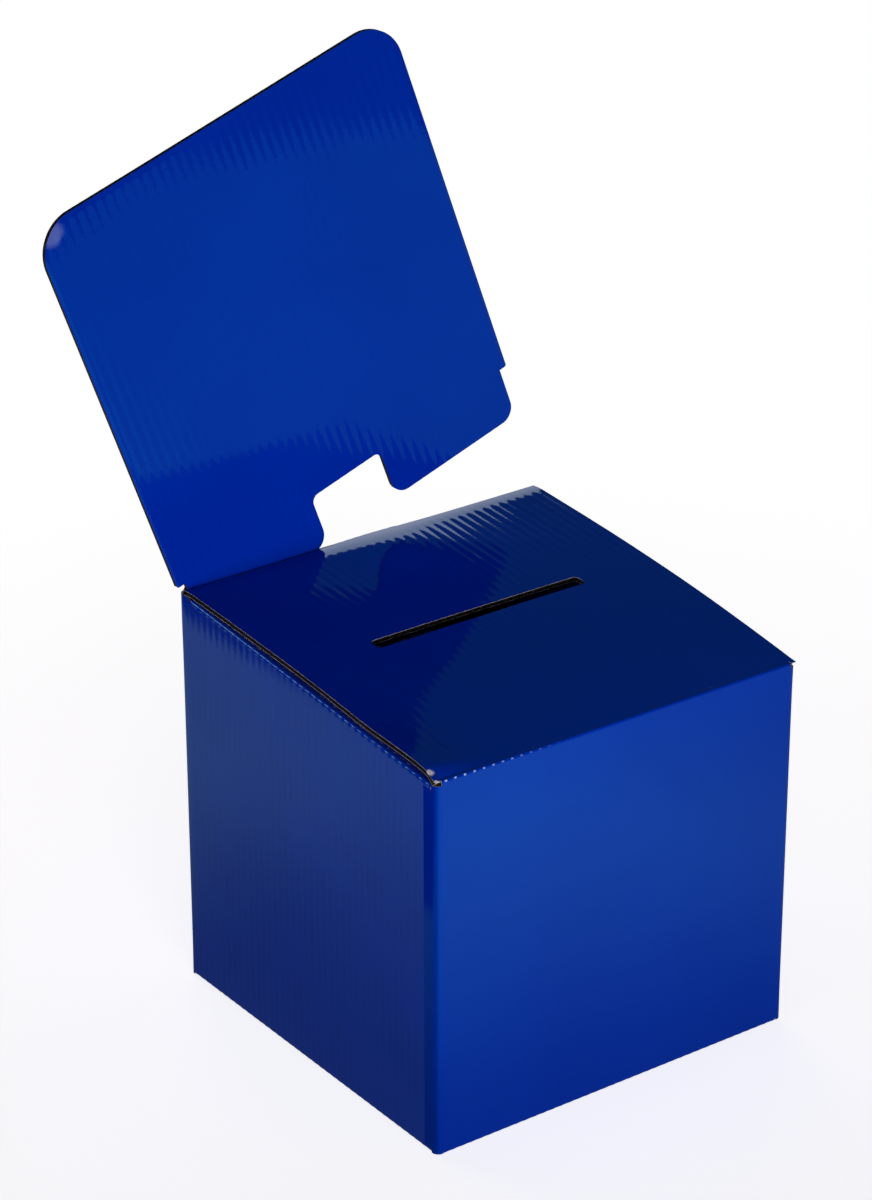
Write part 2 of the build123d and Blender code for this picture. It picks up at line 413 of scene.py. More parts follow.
def painted_crease_glints(spot):
    """Painted highlights on the front crease: a glint on each flute, fewer to the right."""
    x, y, z = spot.parts()
    off_y, off_z = y - dot_y, z - dot_z
    near = (off_y * off_y + off_z * off_z).maths("SQRT") + spot.noise(dot_grain) * dot_ragged
    near = near.step(dot_inner, dot_outer, 1.0, 0.0)
    flute = ripple(spot, 0).step(dot_crest_from, dot_crest_to)
    return near * flute * x.step(dots_from, dots_to, 1.0, 0.0)


def streaks(spot):
    """Fine darker upright streaks on the two side walls, one on each flute, in patches."""
    x, _, z = spot.parts()
    side = x.maths("ABSOLUTE").step(streak_from, streak_to)
    side = side * z.step(streak_top, streak_top + streak_fade, 1.0, 0.0)
    patches = spot.noise(streak_cloud).step(cloud_from, cloud_to)
    return side * ripple(spot, 1).step(-1.0, 1.0) * patches


def pressed(spot):
    """How far past the line where the side walls start to lean in to the front corners."""
    return (spot.parts()[1] * -1.0 - press_from).maths("MAXIMUM", 0.0)


def pressed_side_shade(spot):
    """Painted shade where a side wall is pressed: past that line, on the side but not on the
    corner's turn.
    """
    side = spot.parts()[0].maths("ABSOLUTE").step(press_turn, press_side)
    return side * pressed(spot).step(0.0, press_fade)


print("dots on the crease from x", dots_from, "to", dots_to, "pressed from y", -press_from)

# %% [markdown]
# The film is one shader: the marks and the painted light go into its colour, smears into its
# roughness, and the orange peel and the flutes into a bump. Its four variants differ only in the
# flutes, which a mesh may already have, and in the pressed corners with their painted shade, which
# only the walls have.

# %% The printed film
print_light = (0.0, 0.030, 0.46, 1)
print_deep = (0.0, 0.024, 0.42, 1)
spot_white = (0.95, 0.95, 0.96, 1)
film_tint = (0.03, 0.8, 1.0, 1)
film_ior = 1.5
# Colours of the two painted highlights: the header's corner and the crease's glints.
corner_highlight_blue, crease_glint_blue = (0.18, 0.25, 0.66, 1), (0.45, 0.66, 0.98, 1)
# One darker blue serves the streaks and the painted shade beside the front corners.
streak_and_shade_blue, streak_share = (0, 0.012, 0.25, 1), 0.3
press_slope, press_shade_share = 0.4, 0.85
film_rough, smear_rough, spot_rough = 0.03, 0.07, 0.6
smear_size, smear_from, smear_to = 0.045, 0.35, 0.75
grain_size, cloud_share, grain_share = 0.0007, 0.7, 0.3
tone_from, tone_to = 0.3, 0.7
peel_size, peel_depth = 0.0022, 0.000012


def printed_film(name, across=None, walls=False):
    """Glossy blue print. Across is 0 or 1 where flat meshes need the flutes as waves over x or y.
    On the walls the scores have pressed the print beside the front vertical corners, and painted
    shade darkens it there."""
    material, tree = new_material(name)
    spot = tree.node("ShaderNodeTexCoord").output("Object")
    tone = spot.noise(cloud_size) * cloud_share + spot.noise(grain_size) * grain_share
    glint_and_bare = ragged_spots(spot, glint_and_bare_spots)
    colour = tone.step(tone_from, tone_to).mix(print_deep, print_light)
    colour = (streaks(spot) * streak_share).mix(colour, streak_and_shade_blue)
    if walls:
        # Painted shade beside the front corners, where the pressed walls lean in.
        colour = (pressed_side_shade(spot) * press_shade_share).mix(colour, streak_and_shade_blue)
    # Painted highlight at the header's bent corner.
    colour = painted_corner_highlight(spot).mix(colour, corner_highlight_blue)
    # Painted glints on the front crease.
    colour = painted_crease_glints(spot).mix(colour, crease_glint_blue)
    # The white spots, partly bare paper and partly a painted highlight.
    colour = glint_and_bare.mix(colour, spot_white)
    smear = spot.noise(smear_size, fine_detail)
    smear = smear.step(smear_from, smear_to, film_rough, smear_rough)
    height = spot.noise(peel_size) * peel_depth
    if walls:
        height = height - pressed(spot) * press_slope
    if across is not None:
        height = height + ripple(spot, across) * (ripple_depth / 2)
    inputs = {
        "Base Color": colour,
        "Roughness": smear + glint_and_bare * spot_rough,
        "IOR": film_ior,
        "Specular Tint": film_tint,
        "Normal": bump(height),
    }
    film = tree.node("ShaderNodeBsdfPrincipled", {}, inputs)
    tree.node("ShaderNodeOutputMaterial", {}, {"Surface": film})
    return material


films = {"own": printed_film("printed_film")}
films[0] = printed_film("printed_film_waves_x", 0)
films[1] = printed_film("printed_film_waves_y", 1)
films["walls"] = printed_film("printed_film_walls", walls=True)
print("film materials", [m.name for m in films.values()])

# %% [markdown]
# The inner liner and the wavy medium are raw brown kraft. Long fibres give it light and dark
# streaks, a few dark specks lie in it, and it is matt. The medium is painted almost black, as
# painted shade for the hollows inside the board. The cut edges of the liners show a paler paper
# than the kraft.

# %% The raw papers
kraft_tones = {
    "plain_liner": ((0.36, 0.255, 0.155, 1), (0.44, 0.32, 0.20, 1)),
    # The medium is painted near-black: painted shade for the hollows inside the board.
    "fluting": ((0.012, 0.009, 0.006, 1), (0.030, 0.022, 0.015, 1)),
    "cut_edge": ((0.33, 0.29, 0.25, 1), (0.50, 0.45, 0.40, 1)),
}
speck_colour, speck_share = (0.10, 0.065, 0.04, 1), 0.6
speck_size, speck_from, speck_to = 0.0016, 0.70, 0.76
fibre_size, fibre_stretch, fibre_detail, fibre_depth = 0.0026, 0.12, 6.0, 0.00006
fibre_from, fibre_to = 0.3, 0.7
fibre_share, mottle_share = 0.65, 0.35
kraft_from, kraft_to = 0.36, 0.64
rough_between, rough_fibre = 0.95, 0.8


def raw_paper(name, tones, across=None):
    """Matt kraft paper with fibres that lie mostly upright, and specks."""
    material, tree = new_material(name)
    spot = tree.node("ShaderNodeTexCoord").output("Object")
    inputs = {"Vector": spot, "Scale": (1, 1, fibre_stretch)}
    fibres = tree.node("ShaderNodeMapping", {}, inputs).noise(fibre_size, fibre_detail)
    tone = fibres * fibre_share + spot.noise(cloud_size, fine_detail) * mottle_share
    specks = spot.noise(speck_size).step(speck_from, speck_to)
    colour = tone.step(kraft_from, kraft_to).mix(*tones)
    colour = (specks * speck_share).mix(colour, speck_colour)
    colour = ragged_spots(spot, glint_and_bare_spots).mix(colour, spot_white)
    height = fibres * fibre_depth
    if across is not None:
        height = height + ripple(spot, across) * (ripple_depth / 2)
    rough = fibres.step(fibre_from, fibre_to, rough_between, rough_fibre)
    inputs = {"Base Color": colour, "Roughness": rough, "Normal": bump(height)}
    paper = tree.node("ShaderNodeBsdfPrincipled", {}, inputs)
    tree.node("ShaderNodeOutputMaterial", {}, {"Surface": paper})
    return material


papers = {name: raw_paper(name, tones) for name, tones in kraft_tones.items()}
liners = {k: raw_paper(f"plain_liner_waves_{k}", kraft_tones["plain_liner"], k) for k in (0, 1)}
print("paper materials", sorted(papers), len(liners))

# %% [markdown]
# ## Meshes from flat grids
# Each paper of a panel is drawn flat first, as grids of (u, v) nodes: u runs across the flutes and
# v along them. Columns of nodes stand close enough to follow each flute. A column may start and
# end at its own v, and so follows an outline's arcs. Two functions then lay the flat sheet in
# space as the paper's outer and inner face, and a rim closes it.

# %% Grids, rims and closed sheets
columns_per_flute = 10
arc_columns = 9
column_decimals, node_decimals = 5, 4
sharp_angle = math.radians(40)


def columns(low, high, arcs=(), stops=()):
    """Column places from low to high: even steps in each flute, finer steps in arcs, and stops.
    An arc is (end, inside): its columns crowd towards end, as a quarter circle's do."""
    step = pitch / columns_per_flute
    even = np.arange(math.ceil(low / step), math.floor(high / step) + 1) * step
    quarter = np.cos(np.linspace(0, math.pi / 2, arc_columns))
    bent = [inside + (end - inside) * quarter for end, inside in arcs]
    places = np.concatenate([even, [low, high], stops, *bent])
    return np.unique(np.round(places[(places >= low) & (places <= high)], column_decimals))


def strip(us, low, high, rows):
    """A grid of nodes: each column u has rows + 1 nodes, evenly from its low v to its high v."""
    share = np.linspace(0, 1, rows + 1)[:, None]
    low, high = (np.broadcast_to(end, us.shape) for end in (low, high))
    return np.broadcast_to(us, (rows + 1, len(us))), low + (high - low) * share


def within(us, low, high):
    """The columns from low to high."""
    return us[(us >= low) & (us <= high)]


def join(*grids):
    """One flat mesh of quads from several grids: nodes that share a place become one."""
    flat, quads, start = [], [], 0
    for u, v in grids:
        index = start + np.arange(u.size).reshape(u.shape)
        corners = (index[:-1, :-1], index[:-1, 1:], index[1:, 1:], index[1:, :-1])
        quads.append(np.stack(corners, -1).reshape(-1, 4))
        flat.append(np.stack([u, v], -1).reshape(-1, 2))
        start += u.size
    flat = np.concatenate(flat)
    places = np.round(flat, node_decimals)
    _, first, same = np.unique(places, axis=0, return_index=True, return_inverse=True)
    return flat[first], same.ravel()[np.concatenate(quads)]


def rim(quads):
    """The outline's edges: those that only one quad uses, in that quad's own direction."""
    edges = np.concatenate([quads[:, [k, (k + 1) % 4]] for k in range(4)])
    _, first, count = np.unique(np.sort(edges), axis=0, return_index=True, return_counts=True)
    return edges[first[count == 1]]


def closed_sheet(flat, quads, outer, inner):
    """Points and faces of a sheet: the flat quads on its outer and inner surface, and its rim."""
    count = len(flat)
    points = np.concatenate([outer(*flat.T), inner(*flat.T)])
    edge = rim(quads)
    around = np.stack([edge[:, 0] + count, edge[:, 1] + count, edge[:, 1], edge[:, 0]], -1)
    return points, np.concatenate([quads, quads[:, ::-1] + count, around])


def make_sheet(name, sheet, faces, materials, slot):
    """A mesh object of a closed sheet. Materials are those of its outer face, its inner face and
    its cut rim."""
    flat, quads = sheet
    points, faces = closed_sheet(flat, quads, *faces)
    mesh = bpy.data.meshes.new(name)
    mesh.from_pydata((points * MM).tolist(), [], faces.tolist())
    for material in materials:
        mesh.materials.append(material)
    index = np.full(len(faces), 2, np.int32)
    index[: len(quads)] = 0
    index[len(quads) : 2 * len(quads)] = 1
    mesh.polygons.foreach_set("material_index", index)
    mesh.shade_smooth()
    mesh.set_sharp_from_angle(angle=sharp_angle)
    piece = bpy.data.objects.new(name, mesh)
    bpy.context.scene.collection.objects.link(piece)
    print(name, len(faces), "faces")
    return piece


print("columns are", pitch / columns_per_flute, "mm apart")

# %% [markdown]
# ## How the board's surface moves
# Glued to a wavy medium, a liner dips a little between two crests: the washboard that shows in
# every reflection. The dip changes slowly from flute to flute. The medium is a cosine wave that
# touches both liners.

# %% Washboard and wave
dip = 0.085
drift_share, drift_across, drift_along = 0.28, 19, 57
uneven_share, uneven_across, uneven_start = 0.18, 7.3, 2
sway_height = 0.12


def between_crests(across):
    """A raised cosine across the flutes: 0 on a crest, 1 midway between two."""
    return (1 - np.cos(2 * np.pi * (across - crest) / pitch)) / 2


def washboard(across, along=0):
    """Depth of the dip between crests, times a slow change that is 1 plus two sines."""
    slow = 1 + drift_share * np.sin(across / drift_across + np.sin(along / drift_along))
    slow = slow + uneven_share * np.sin(across / uneven_across + uneven_start)
    return dip * between_crests(across) * slow


def sway(u, v, lengths):
    """A faint slow wave of a whole panel: a slanting sine times one over v, of given lengths."""
    slant_u, slant_v, over_v = lengths
    return sway_height * np.sin(u / slant_u + v / slant_v) * np.sin(v / over_v)


def medium_face(across, side):
    """Depth of the wavy medium's face: a cosine between the liners, moved half a paper's
    thickness along its own normal, outwards for side -1 and inwards for side 1."""
    swing = (board - 2 * liner - medium) / 2
    angle = 2 * np.pi * (across - crest) / pitch
    steep = swing * np.sin(angle) * 2 * np.pi / pitch
    return board / 2 - swing * np.cos(angle) + side * medium / 2 * np.sqrt(1 + steep**2)


def ply_depths(ply, shows):
    """Depth functions of a ply's outer and inner face, over (u, v). Shows(u, v) is how much of the
    washboard is there: 0 where the board is pressed flat."""
    if ply == "fluting":
        return lambda u, v: medium_face(u, -1), lambda u, v: medium_face(u, 1)
    if ply == "printed_liner":
        top, way, start = 0, 1, 0
    else:
        top, way, start = board - liner, -1, pitch / 2

    def outer(u, v):
        return top + way * washboard(u + start, v) * shows(u, v)

    return outer, lambda u, v: outer(u, v) + liner


ply_materials = {
    "printed_liner": (films["own"], papers["fluting"], papers["cut_edge"]),
    "fluting": (papers["fluting"], papers["fluting"], papers["fluting"]),
    "plain_liner": (papers["fluting"], papers["plain_liner"], papers["cut_edge"]),
}


def make_board(name, body, sheet_of, place, shows, cut=None):
    """The three plies of a panel, each standing for its flat node. Place(u, v, depth) gives the
    points of a layer at that depth, and sheet_of(ply) the flat mesh. Cut is a finish for its cut
    edges, where they have their own."""
    for ply, materials in ply_materials.items():
        materials = (*materials[:2], cut or materials[2])
        outer, inner = ply_depths(ply, shows)
        faces = (
            lambda u, v, depth=outer: place(u, v, depth(u, v)),
            lambda u, v, depth=inner: place(u, v, depth(u, v)),
        )
        piece = make_sheet(f"{name}_{ply}_looks", sheet_of(ply), faces, materials, ply)
        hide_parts(f"{name}_{ply}")
        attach(piece, body)


print("deepest dip", round(float(washboard(columns(-half, half)).max()), 3), "mm")

# %% [markdown]
# ## The printed skin round the four walls
# One sheet of printed liner wraps the walls, so the vertical corners are one surface with them. It
# runs from the back wall's right end round the back, left, front and right, and its two ends leave
# the seam of the maker's joint. Its top and bottom edges stop where the creases begin.

# %% The skin of the walls
crushed_board = 1.5
flat_run = 2 * (half - corner_radius)
flat_end = flat_run / 2
corner_run = corner_radius * math.pi / 2
side_run = flat_run + corner_run
seam_gap = 0.7
front_reach, dust_reach, bottom_reach = 3.0, 3.0, 2.6
side_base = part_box("left_wall_printed_liner")[0].z / MM - liner
side_sink = 2.6
foot_short, corner_foot = 1.0, 0.6
dust_from, dust_to = -122.5, 113.1
wall_flutes = 0.14
wall_dish, dish_shares = 0.2, (0.5, 0.3, 0.2)
dish_across, dish_up, dish_slant = 37, 31, 53
corner_sink, sink_width, sink_steepness = 0.18, 6.0, 12
skin_rows, corner_steps = 14, 10


def run_at(turn, across):
    """Distance along the skin of a place on one side, from its across coordinate."""
    return turn * side_run + flat_end + across


def uneven_dish(across, z, turn):
    """How the dish varies over a wall: a share that stays, plus two slow sines."""
    steady, wide, slanting = dish_shares
    waves = steady + wide * np.sin(across / dish_across + turn)
    return waves + slanting * np.sin(z / dish_up + across / dish_slant)


def skin_layer(depth_of):
    """The skin's layer at a depth. A side is a straight run, then a quarter turn: the normal goes
    from the side's outward direction to its heading, by cosine and sine of the turned angle. Each
    wall is dished by a parabola both ways, and sinks by a square beside the corners."""

    def place(run, z):
        turn = np.minimum(run // side_run, 3)
        local = run - turn * side_run
        straight = np.minimum(local, flat_run)
        across = straight - flat_end
        angle = (local - straight) / corner_radius
        start = math.pi * (1 + turn / 2)
        heading = np.stack([np.cos(start), np.sin(start), 0 * start], -1)
        outward = np.stack([np.sin(start), -np.cos(start), 0 * start], -1)
        normal = outward * np.cos(angle)[:, None] + heading * np.sin(angle)[:, None]
        to_corner = flat_end - np.abs(across)
        flat = np.clip(to_corner / pitch, 0, 1)
        level = np.clip(z / front_height, 0, 1)
        dish = flat * (1 - (across / flat_end) ** 2) * 4 * level * (1 - level)
        dish = dish * uneven_dish(across, z, turn)
        sink = np.clip(1 - to_corner / sink_width, 0, 1) ** 2
        depth = depth_of(across, z, flat, angle) + wall_dish * dish
        depth = depth + corner_sink * sink * np.clip(sink_steepness * level * (1 - level), 0, 1)
        points = outward * half + heading * across[:, None]
        points = points + (normal - outward) * corner_radius - normal * depth[:, None]
        return points + np.stack([0 * z, 0 * z, z], -1)

    return place


def skin_face(across, z, flat, angle):
    """Depth of the outer face: the washboard, faint on the walls and gone in the corners."""
    return wall_flutes * washboard(across, z) * flat


def skin_inner(across, z, flat, angle):
    """The inner face: one liner deep, and down to the crushed board's depth in the corners."""
    crush = (crushed_board - liner) * np.sin(2 * angle) ** 0.5
    return liner + skin_face(across, z, flat, angle) + crush


def skin_edges(turn_edges):
    """A height for each run, straight between the given (turn, across, height) places."""
    runs = [run_at(turn, across) for turn, across, _ in turn_edges]
    return lambda us: np.interp(us, runs, [height for _, _, height in turn_edges])


corner_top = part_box("back_left_corner_fold")[1].z / MM
ramp = 0.4
below = dust_reach / math.cos(slope)
side_top = [
    (-flat_end, 0),
    (-dust_to - ramp, 0),
    (-dust_to, below),
    (-dust_from, below),
    (-dust_from + ramp, 0),
    (flat_end, 0),
]
left_top = [(1, across, side_level(-across) - drop) for across, drop in side_top]
right_top = [(3, -across, z) for _, across, z in reversed(left_top)]
front_top = [(2, end, front_height - front_reach) for end in (-flat_end, flat_end)]
back_start = [(0, -flat_end, back_top), (0, flat_end, back_top), (0, flat_end + ramp, corner_top)]
back_end = [(3, flat_end + run, corner_top) for run in (corner_run - ramp, corner_run)]
top_edge = skin_edges(back_start + left_top + front_top + right_top + back_end)
foot_run = flat_end - foot_short
side_foot = side_base - side_sink + bottom_reach
feet = []
for turn, foot in enumerate((bottom_reach, side_foot, bottom_reach, side_foot)):
    feet += [(turn, -foot_run - ramp, corner_foot), (turn, -foot_run, foot)]
    feet += [(turn, foot_run, foot), (turn, foot_run + ramp, corner_foot)]
bottom_edge = skin_edges(feet)


def skin_columns():
    """Runs of the skin's columns: even in the flutes, closer in a corner, and at edges' ends."""
    runs = [np.array([-flat_end + seam_gap + run_at(0, 0), 4 * side_run])]
    corner_columns = flat_end + np.linspace(0, corner_run, corner_steps + 1)[1:-1]
    for turn in range(4):
        runs.append(run_at(turn, columns(-flat_end, flat_end, stops=(-foot_run, foot_run))))
        runs.append(run_at(turn, corner_columns))
    runs.append([run_at(turn, across) for turn, across, _ in left_top + right_top + feet])
    runs = np.concatenate(runs)
    runs = runs[(runs >= runs[0]) & (runs <= 4 * side_run)]
    return np.unique(np.round(runs, column_decimals))


runs = skin_columns()
skin_sheet = join(strip(runs, bottom_edge(runs), top_edge(runs), skin_rows))
skin = make_sheet(
    "wall_skin",
    skin_sheet,
    (skin_layer(skin_face), skin_layer(skin_inner)),
    (films["walls"], *ply_materials["printed_liner"][1:]),
    "printed_liner",
)
walls = ("front", "back", "left", "right")
folds = [f"{y}_{x}_corner_fold" for y in ("front", "back") for x in ("left", "right")]
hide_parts(*[f"{name}_wall_printed_liner" for name in walls], *folds)
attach(skin, "box")

# %% [markdown]
# ## Creases
# Board is bent over a crushed line, so the printed skin goes round it as an arc between two short
# straight legs. The same surface serves every crease.

# %% Bent strips between two panels
crush_depth, crush_share = 0.12, 0.7
fold_from, fold_length = 0.6, 1.8
leg_rows, arc_rows = 3, 10
lid_bend, flap_bend, tongue_bend = 1.3, 1.5, 3.0
flap_reach, side_flap_reach = 2.6, 4.6


def crease_layer(origin, wall, flap, radius, reaches, depth_of, lift):
    """A layer of a crease. Its profile t is a leg on the wall (0 to 1), an arc about a centre on
    the two panels' bisector (1 to 2) and a leg on the flap (2 to 3). Lift raises it."""
    inner = math.acos(wall @ flap)
    tangent = radius / math.tan(inner / 2)
    normal = (flap @ wall) * wall - flap
    normal = normal / np.linalg.norm(normal)
    along = np.cross(normal, wall)
    centre = origin + (wall + flap) / np.linalg.norm(wall + flap) * radius / math.sin(inner / 2)

    def place(u, t):
        on_wall = (reaches[0] - tangent) * (1 - np.clip(t, 0, 1))
        on_flap = (reaches[1] - tangent) * np.clip(t - 2, 0, 1)
        angle = (math.pi - inner) * np.clip(t - 1, 0, 1)
        out = np.cos(angle)[:, None] * normal - np.sin(angle)[:, None] * wall
        points = centre + out * (radius - depth_of(u, t))[:, None] + u[:, None] * along
        points = points + on_wall[:, None] * wall + on_flap[:, None] * flap
        return points + lift(u, t)[:, None] * z_way

    return place


def fold_share(t):
    """How much of the board is crushed along the profile: a squared sine, 1 in the arc's middle."""
    return np.sin(np.pi * np.clip((t - fold_from) / fold_length, 0, 1)) ** 2


def no_lift(u, t):
    """A crease that lies on its two panels."""
    return 0 * u


def make_crease(name, ends, shape, slot="printed_liner", lift=no_lift, turning=None):
    """A crease strip from one end to the other along its line, between two panels. Shape is the
    origin, the wall's and the flap's direction, the radius and the two legs' reaches.
    Turning is a length of its last part, where that is not the whole strip; it only moves a start
    point that nothing uses."""

    def outer(u, t):
        fold = fold_share(t)
        return washboard(u, front_height) * (1 - fold) + crush_depth * fold * between_crests(u)

    def inner(u, t):
        return outer(u, t) + liner + (crushed_board - liner) * fold_share(t) * crush_share

    us = columns(*ends)
    legs = [strip(us, k, k + 1, rows) for k, rows in ((0, leg_rows), (1, arc_rows), (2, leg_rows))]
    layers = [crease_layer(*shape, depth_of, lift) for depth_of in (outer, inner)]
    piece = make_sheet(name, join(*legs), layers, ply_materials["printed_liner"], slot)
    flat_layer = crease_layer(*shape, no_lift, lift)
    start, end = flat_layer(np.zeros(2), np.array([0.0, 3.0])) * MM
    if turning:
        start = end - shape[2] * turning * MM
    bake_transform(piece)
    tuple(start)
    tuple(end)
    return piece


def smooth(value, low, high):
    """Goes from 0 to 1 as the value goes from low to high, by a cubic with flat ends."""
    share = np.clip((value - low) / (high - low), 0, 1)
    return share * share * (3 - 2 * share)


def side_drop(u, t):
    """The side walls' bottom fold hangs below its panels, down to the floor."""
    return side_sink * (smooth(t, 2, 3) - 1) + 0 * u


down = -z_way
lid_line = np.array((0, -half, front_height))
make_crease(
    "lid_crease",
    (-flat_end, flat_end),
    (lid_line, down, up_slope, lid_bend, (front_reach, front_reach)),
)
for side, label in ((-1, "left"), (1, "right")):
    ends = sorted(y / math.cos(slope) * side for y in (dust_from, dust_to))
    line = np.array((side * half, 0, side_level(0)))
    shape = (line, -lid_normal, -side * x_way, flap_bend, (dust_reach, flap_reach))
    make_crease(f"{label}_dust_crease", ends, shape)
    line = np.array((side * half, 0, side_base))
    shape = (line, z_way, -side * x_way, flap_bend, (bottom_reach, side_flap_reach))
    make_crease(f"bottom_{label}_crease", (-foot_run, foot_run), shape, lift=side_drop)
for side, label in ((-1, "front"), (1, "back")):
    line = np.array((0, side * half, 0))
    shape = (line, z_way, -side * y_way, flap_bend, (bottom_reach, flap_reach))
    make_crease(f"bottom_{label}_crease", (-foot_run, foot_run), shape)

# %% [markdown]
# ## The lid
# The lid isn't flat in the picture. Both side edges were traced there: the board bulges between
# its creased front and its rear, and its right rear corner springs up, since only the header's
# left tab holds the rear down. A crushed line along the rear edge rolls it down a little.

# %% The tongue's line
tongue_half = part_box("tongue_printed_liner")[1].x / MM
lean = math.radians(4)
tongue_down = np.array((0, -math.sin(lean), -math.cos(lean)))
tongue_normal = np.array((0, math.cos(lean), -math.sin(lean)))
tongue_start = hinge["tongue_hinge"] + tongue_normal * board
rise = (lid_line - tongue_start) @ lid_normal / (tongue_down @ lid_normal)
tongue_line = tongue_start + rise * tongue_down
tongue_along = (tongue_line - lid_line) @ up_slope
tongue_leg = 3.55

print("tongue line", tongue_line.round(2), "v", round(float(tongue_along), 2))

# %% The bowed lid
lid_gap = 3.9
lid_reach = (2 * half - board - lid_gap) / math.cos(slope)
slot_half, slot_width, slot_radius = 74.0, 9.5, 3.0
slot_level = 132
slot_middle = slot_level / math.cos(slope)
slot_front, slot_back = slot_middle - slot_width / 2, slot_middle + slot_width / 2
bow_from, bow_to, bow_skew = 3.0, 248.0, 0.9
edge_bow, middle_bow, right_bow, right_lift = 3.3, 1.0, 0.3, 3.0
lid_sway = (29, 61, 23)
roll_width, roll_drop = 10.0, 1.0
hump_rise, hump_half, hump_from, hump_to = 1.7, 38.0, 190.0, 232.0
hump_roll_width, hump_roll_drop = 7.0, 0.7
corner_rise, corner_half, corner_full, corner_from, corner_to = 3.2, 24.0, 9.0, 12.0, 75.0
front_step, front_cut = 0.6, 0.4
fade_width = 5
lid_rows = 26


def lid_lift(u, v):
    """How far the lid stands off its plane: a sine over its length, skewed to the front, and a
    straight twist that lifts the right rear corner. The left front corner stands up as a small
    bell. In front of the tongue it rises as another, and its rear edge rolls down by a square,
    further there."""
    share = np.clip((v - bow_from) / (bow_to - bow_from), 0, 1)
    across = np.clip((u + half) / (2 * half), 0, 1)
    arch = np.sin(np.pi * share**bow_skew)
    lift = (edge_bow + right_bow * across + middle_bow * (1 - (u / half) ** 2)) * arch
    lift = lift + (right_lift * across + roll_drop) * share
    lift = lift + arch * sway(u, v, lid_sway)
    puff = np.exp(-(((u + half) / corner_half) ** 2)) * smooth(v, bow_from, corner_full)
    lift = lift + corner_rise * puff * (1 - smooth(v, corner_from, corner_to))
    hump = np.exp(-((u / hump_half) ** 2))
    lift = lift + hump_rise * hump * smooth(v, hump_from, hump_to)
    width = roll_width + hump_roll_width * hump
    rolled = np.maximum((v - bow_to) / width + 1, 0) ** 2
    return lift - (roll_drop + hump_roll_drop * hump) * rolled


def lid_place(u, v, depth):
    """A point of the lid: on its plane, raised along the normal by the lift, less the depth."""
    points = lid_line + u[:, None] * x_way + v[:, None] * up_slope
    return points + (lid_lift(u, v) - depth)[:, None] * lid_normal


def lid_sheet(ply):
    """The lid's flat mesh: in front of the slot, beside it, behind it, and up to the tongue."""
    mitre = {"printed_liner": front_reach, "fluting": board - liner, "plain_liner": board}[ply]
    arcs = [(s * slot_half, s * (slot_half - slot_radius)) for s in (-1, 1)]
    front_ends = (flat_end, flat_end + front_step)
    stops = [s * end for s in (-1, 1) for end in (tongue_half, *front_ends)]
    us = columns(-half, half, arcs, stops)
    away = np.clip(np.abs(us) - slot_half + slot_radius, 0, slot_radius)
    round_off = slot_radius - np.sqrt(slot_radius**2 - away**2)
    low = np.full(us.shape, mitre)
    if ply == "printed_liner":
        low = np.interp(np.abs(us), front_ends, (mitre, front_cut))
    beside = [within(us, slot_half, half), within(us, -half, -slot_half)]
    middle = within(us, -tongue_half, tongue_half)
    top = tongue_along - tongue_leg
    grids = [
        strip(us, low, slot_front + round_off, lid_rows),
        strip(us, slot_back - round_off, lid_reach, lid_rows),
        strip(middle, lid_reach, top, 1),
    ]
    grids += [strip(part, slot_front + slot_radius, slot_back - slot_radius, 2) for part in beside]
    return join(*grids)


def lid_flutes(u, v):
    """The washboard fades out along the front crease and the pressed rear edge."""
    roll_start = bow_to - roll_width - hump_roll_width * np.exp(-((u / hump_half) ** 2))
    return smooth(v, 0, front_reach) * (1 - smooth(v, roll_start, roll_start + fade_width))


make_board("lid", "lid", lid_sheet, lid_place, lid_flutes)

# %% [markdown]
# The tongue is creased down from the middle of the lid's rear edge. Its fold starts at the lid's
# lifted surface and comes down to the imported tongue.

# %% The tongue's crease
tongue_overlap = 0.02
tongue_turning = 1.2


def tongue_lift(u, t):
    """The lid's lift beside the crease's leg, let down to 0 along the arc and the other leg."""
    along = tongue_along - tongue_leg * (1 - np.clip(t, 0, 1))
    return lid_lift(u, along) * (1 - smooth(t, 1, 3))


tongue_fold = make_crease(
    "tongue_crease",
    (-tongue_half, tongue_half),
    (tongue_line, -up_slope, tongue_down, tongue_bend, (tongue_leg, -rise - tongue_overlap)),
    "crushed_fold",
    lift=tongue_lift,
    turning=tongue_turning,
)
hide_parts("tongue_crease_fold")

# %% [markdown]
# ## The header board
# It is being plugged in: the left tab is in its slot and the right end is still up. The board is
# held at one end only, so it bends a little and its upper left corner curls. The die that cut it
# has rolled its edges back, and its raw edges are painted as dark as the medium, as painted shade.

# %% The header board
header_width, header_height, header_radius = 254.0, 242.0, 25.0
shoulder, shoulder_radius = 5.5, 1.0
tab_end, tab_length, tab_radius, notch_radius = 100.5, 33.0, 10.0, 5.0
notch_stop = 0.2
header_lean, header_tilt = math.radians(2.5), math.radians(18.9)
header_aside, header_gap, header_above = 4.0, 0.2, 1.7
lid_end_height = front_height + (2 * half - board) * math.tan(slope)
header_corner = np.array(
    (-half - header_aside, half - board - header_gap - board / 2, lid_end_height + header_above)
)
leaning_up = np.array((0, math.sin(header_lean), math.cos(header_lean)))
header_normal = np.cross(x_way, leaning_up)
header_along = math.cos(header_tilt) * x_way + math.sin(header_tilt) * leaning_up
header_up = np.cross(header_normal, header_along)
header_rows, top_rows, notch_rows, tab_rows = 22, 12, 3, 5
header_bend, bend_left, bend_right = 0.7, 0.4, 0.6
corner_curl, curl_width = 1.2, 90
header_sway = (33, 71, 27)
edge_roll, edge_width = 0.55, 2.6
calm_share, calm_size, calm_aside, calm_above = 0.8, 22.0, 5, 9
top_band = 12.0
tiny = 1e-6


